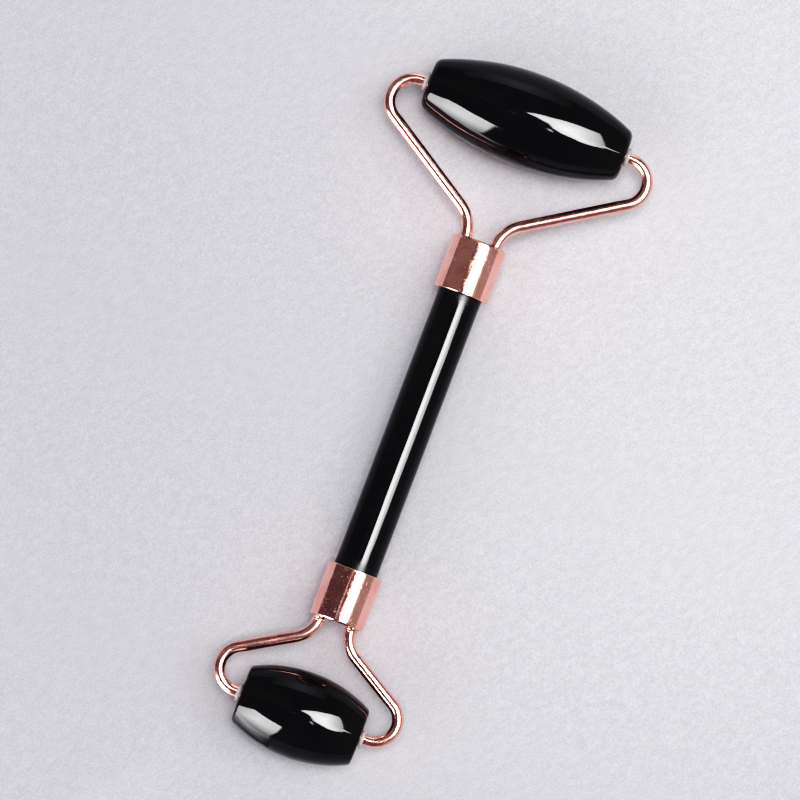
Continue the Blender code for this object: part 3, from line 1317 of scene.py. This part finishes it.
@dataclass(frozen=True)
class GlowSheet:
    """A flat glowing sheet that the polish mirrors.

    Each corner is its place as two numbers and then its share of the radiance; the middle share
    is that of the point halfway between them.
    """

    name: str
    corners: tuple[Triple, ...]
    middle_share: float
    radiance: float

    def places(self, target: Vector) -> list[Vector]:
        """Corners in space.

        Args:
            target: Middle of the tool.

        Returns:
            One place for each corner.
        """
        raise NotImplementedError

    def build(self, target: Vector) -> bpy.types.Object:
        """Make the sheet as a fan round its middle, seen in reflections only.

        Args:
            target: Middle of the tool.

        Returns:
            The sheet.
        """
        points = self.places(target)
        count = len(points)
        points.append(sum(points, Vector()) / count)
        fan = [(k, (k + 1) % count, count) for k in range(count)]
        mesh = bpy.data.meshes.new(self.name)
        mesh.from_pydata([tuple(point) for point in points], [], fan)
        shares = np.array([share for _, _, share in self.corners] + [self.middle_share])
        glow = np.repeat(shares[:, None], 3, axis=1).astype(np.float32)
        glow_layer = mesh.attributes.new(GLOW, "FLOAT_VECTOR", "POINT")
        glow_layer.data.foreach_set("vector", glow.ravel())
        sheet = bpy.data.objects.new(self.name, mesh)
        bpy.context.scene.collection.objects.link(sheet)
        g = Graph.of_material(self.name)
        share = g.node("Attribute", {"attribute_name": GLOW}, {}).outputs["Color"]
        shine = g.node("Emission", {}, {"Color": share, "Strength": self.radiance})
        g.node("OutputMaterial", {}, {"Surface": shine.outputs[0]})
        mesh.materials.append(g.owner)
        sheet.visible_camera = sheet.visible_diffuse = False
        return sheet


@dataclass(frozen=True)
class LightPanel(GlowSheet):
    """A diffuser overhead; its corners are tilts towards +X and +Y from straight up."""

    distance: float = 3.0

    def places(self, target: Vector) -> list[Vector]:
        """Corners where their directions meet the plane square to their middle direction.

        Args:
            target: What the panel faces.

        Returns:
            One place for each corner.
        """
        ways = [towards(east, north) for east, north, _ in self.corners]
        middle = sum(ways, Vector()).normalized()
        return [target + way * (self.distance / way.dot(middle)) for way in ways]


@dataclass(frozen=True)
class TableSheen(GlowSheet):
    """Light lying low over the table beside the tool; its corners are millimetres along X and Y."""

    lift: float = 0.1 * MM

    def places(self, target: Vector) -> list[Vector]:
        """Corners just above the table.

        Args:
            target: Middle of the tool, not used.

        Returns:
            One place for each corner.
        """
        flat = [(x * MM, y * MM) for x, y, _ in self.corners]
        return [Vector((x, y, table_height(y) + self.lift)) for x, y in flat]

    def build(self, target: Vector) -> bpy.types.Object:
        """Make the sheet so that it casts no shadow on the table.

        Args:
            target: Middle of the tool.

        Returns:
            The sheet.
        """
        sheet = super().build(target)
        sheet.visible_shadow = False
        return sheet


@dataclass(frozen=True)
class SoftLamp:
    """A wide, far lamp that lights the table evenly and is not mirrored."""

    name: str
    tilt: Pair
    spread: float
    strength: float

    def build(self, target: Vector) -> bpy.types.Object:
        """Point the lamp down its direction.

        Args:
            target: Where the lamp is drawn from.

        Returns:
            The lamp.
        """
        lamp = bpy.data.lights.new(self.name, "SUN")
        lamp.energy = self.strength
        lamp.angle = math.radians(self.spread)
        light = bpy.data.objects.new(self.name, lamp)
        way = towards(*self.tilt)
        light.location = target + way
        light.rotation_euler = way.to_track_quat("Z", "Y").to_euler()
        light.visible_glossy = False
        bpy.context.scene.collection.objects.link(light)
        return light


@dataclass(frozen=True)
class Room:
    """The dim room round the table, a little lighter on the right than on the left."""

    left: Colour = (0.155, 0.152, 0.180)
    right: Colour = (0.42, 0.41, 0.42)
    backdrop: Colour = (0.74, 0.735, 0.79)

    def build(self) -> None:
        """Make the room the scene's world; the camera sees a pale backdrop instead."""
        world = bpy.data.worlds.new("studio_room")
        g = Graph(world)
        way = g.node("TexCoord", {}, {}).outputs["Generated"]
        east = g.parts(way)[0]
        walls = g.blend(g.step(east, 0.25, 0.85), self.left, self.right)
        seen = Signal(g, g.node("LightPath", {}, {}).outputs["Is Camera Ray"])
        shine = g.node("Background", {}, {"Color": g.blend(seen, walls, self.backdrop)})
        g.node("OutputWorld", {}, {"Surface": shine.outputs[0]})
        bpy.context.scene.world = world


@dataclass(frozen=True)
class Print:
    """Contrast of the finished picture: light in, light out, both from 0 to 1."""

    curve: tuple[Pair, ...] = (
        (0.015, 0.0034),
        (0.035, 0.0058),
        (0.06, 0.0100),
        (0.085, 0.018),
        (0.14, 0.052),
        (0.20, 0.110),
        (0.30, 0.225),
        (0.45, 0.410),
        (0.65, 0.640),
    )

    def apply(self) -> None:
        """Set the scene's tone."""
        view = bpy.context.scene.view_settings
        view.view_transform = "Standard"
        view.use_curve_mapping = True
        points = view.curve_mapping.curves[3].points
        for light_in, light_out in self.curve:
            points.new(light_in, light_out)
        view.curve_mapping.update()


@dataclass
class Studio:
    """Pale table, soft lights, surroundings and camera.

    Frame width is the width of the picture at the tool, and aim the place along X and Y that the
    middle of the picture shows.
    """

    frame_width: float = 0.160
    camera_distance: float = 1.2
    camera_lean: float = 2.8
    camera_turn: float = 20.81
    aim: Pair = (-0.00378, 0.00184)
    sensor_width: float = 36.0
    table_half: float = 6.0
    panels: tuple[LightPanel, ...] = (
        LightPanel(
            "key_panel",
            (
                (-2.0, 12.5, 0.80),
                (10.0, 21.5, 0.85),
                (25.0, 32.0, 0.75),
                (34.0, 35.0, 0.50),
                (39.5, 6.0, 0.45),
                (39.5, -3.0, 0.60),
                (34.0, -8.0, 0.90),
                (26.0, -9.0, 0.95),
                (19.0, -6.0, 0.95),
                (12.8, -2.0, 0.90),
                (9.5, 5.5, 0.85),
                (5.0, 9.0, 0.80),
                (-2.0, 10.0, 0.75),
            ),
            1.12,
            18.5,
        ),
        LightPanel(
            "key_edge",
            ((39.0, 0.6, 0.85), (39.0, 5.0, 0.85), (47.0, 4.0, 0.2), (47.0, 1.4, 0.2)),
            0.55,
            18.5,
        ),
        LightPanel(
            "key_glint",
            ((10.0, -6.0, 1.0), (12.5, -6.5, 1.0), (14.0, -12.0, 0.6), (11.0, -11.0, 0.8)),
            0.9,
            12.0,
        ),
        LightPanel(
            "thin_gap",
            ((-10.0, -2.0, 0.6), (-9.4, 1.6, 0.6), (-6.2, 1.6, 1.0), (-6.4, -2.0, 1.0)),
            1.0,
            1.5,
        ),
        LightPanel(
            "side_panel",
            (
                (-39.0, -33.0, 0.80),
                (-26.0, -40.0, 0.95),
                (-12.0, -46.5, 0.85),
                (-15.0, -64.0, 0.80),
                (-21.0, -92.0, 0.12),
                (-70.0, -74.0, 0.22),
                (-64.0, -50.0, 0.45),
            ),
            0.95,
            15.0,
        ),
        LightPanel(
            "far_panel",
            (
                (-34.0, 58.0, 0.35),
                (-8.0, 60.0, 0.9),
                (16.0, 61.0, 0.35),
                (18.0, 90.0, 0.2),
                (-38.0, 90.0, 0.2),
            ),
            1.0,
            1.7,
        ),
        LightPanel(
            "left_fill",
            ((-84.0, 3.0, 1.0), (-11.0, 3.0, 1.0), (-11.0, 36.0, 0.6), (-84.0, 36.0, 0.6)),
            0.9,
            0.31,
        ),
    )
    sheens: tuple[TableSheen, ...] = (
        TableSheen(
            "near_sheen",
            ((-18.0, -76.0, 0.06), (-5.0, -82.0, 0.0), (-25.0, -168.0, 0.35), (-80.0, -141.0, 1.0)),
            0.70,
            8.0,
        ),
        TableSheen(
            "far_sheen",
            ((-80.0, -141.0, 1.0), (-25.0, -168.0, 0.35), (-207.0, -957.0, 0.7), (-636.0, -730.0, 1.0)),
            0.9,
            8.0,
        ),
    )
    lamps: tuple[SoftLamp, ...] = (
        SoftLamp("top_lamp", (3.0, 4.0), 24.0, 2.00),
        SoftLamp("key_lamp", (25.0, 14.0), 34.0, 1.15),
        SoftLamp("side_lamp", (-28.0, -46.0), 40.0, 0.45),
    )

    def build_table(self) -> bpy.types.Object:
        """Flat sheet of background paper, just touching both stones.

        Returns:
            The sheet.
        """
        side = np.array([-self.table_half, self.table_half])
        x, y = (a.ravel() for a in np.meshgrid(side, side, indexing="ij"))
        points = np.stack([x, y, table_height(y)], axis=1)
        mesh = bpy.data.meshes.new("paper_table")
        mesh.from_pydata(points.tolist(), [], [(0, 2, 3, 1)])
        mesh.materials.append(FeltedPaper().make())
        table = bpy.data.objects.new("paper_table", mesh)
        bpy.context.scene.collection.objects.link(table)
        return table

    def build_camera(self) -> bpy.types.Object:
        """Long lens high above the table, leaning a little, turned about its own line of sight.

        Returns:
            The camera.
        """
        height = box_of("large_roller")[2].z
        target = Vector((*self.aim, height))
        data = bpy.data.cameras.new("studio_camera")
        data.sensor_width = self.sensor_width
        data.lens = data.sensor_width * self.camera_distance / self.frame_width
        data.clip_start, data.clip_end = 0.05, 50.0
        camera = bpy.data.objects.new("studio_camera", data)
        lean = Matrix.Rotation(math.radians(self.camera_lean), 4, "X")
        roll = Matrix.Rotation(math.radians(self.camera_turn), 4, "Z")
        offset = lean @ Vector((0.0, 0.0, self.camera_distance))
        camera.matrix_world = Matrix.Translation(target + offset) @ lean @ roll
        bpy.context.scene.collection.objects.link(camera)
        bpy.context.scene.camera = camera
        return camera

    def set_up(self) -> None:
        """Build everything round the tool."""
        target = box_of("handle_rod")[2]
        self.build_table()
        for light in (*self.panels, *self.sheens, *self.lamps):
            light.build(target)
        Room().build()
        Print().apply()
        self.build_camera()
        counts = len(self.panels), len(self.sheens), len(self.lamps)
        log.info("studio: %d panels, %d sheens, %d lamps", *counts)


def main() -> None:
    """Build and finish every piece, then the studio."""
    logging.basicConfig(level=logging.INFO, format="%(name)s %(message)s")
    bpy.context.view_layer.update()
    shop = Workshop()
    assemblies = (
        Handle(shop),
        Fork(shop, "large", 6.65 * MM, math.radians(32.4), 15.9 * MM),
        Fork(shop, "small", 5.9 * MM, math.radians(30.8), 7.45 * MM),
        Roller(shop, "large", 51.0 * MM, 1.8 * MM),
        Roller(shop, "small", 27.0 * MM, 0.9 * MM),
    )
    for assembly in assemblies:
        assembly.dress()
    Studio().set_up()


if __name__ == "__main__":
    main()
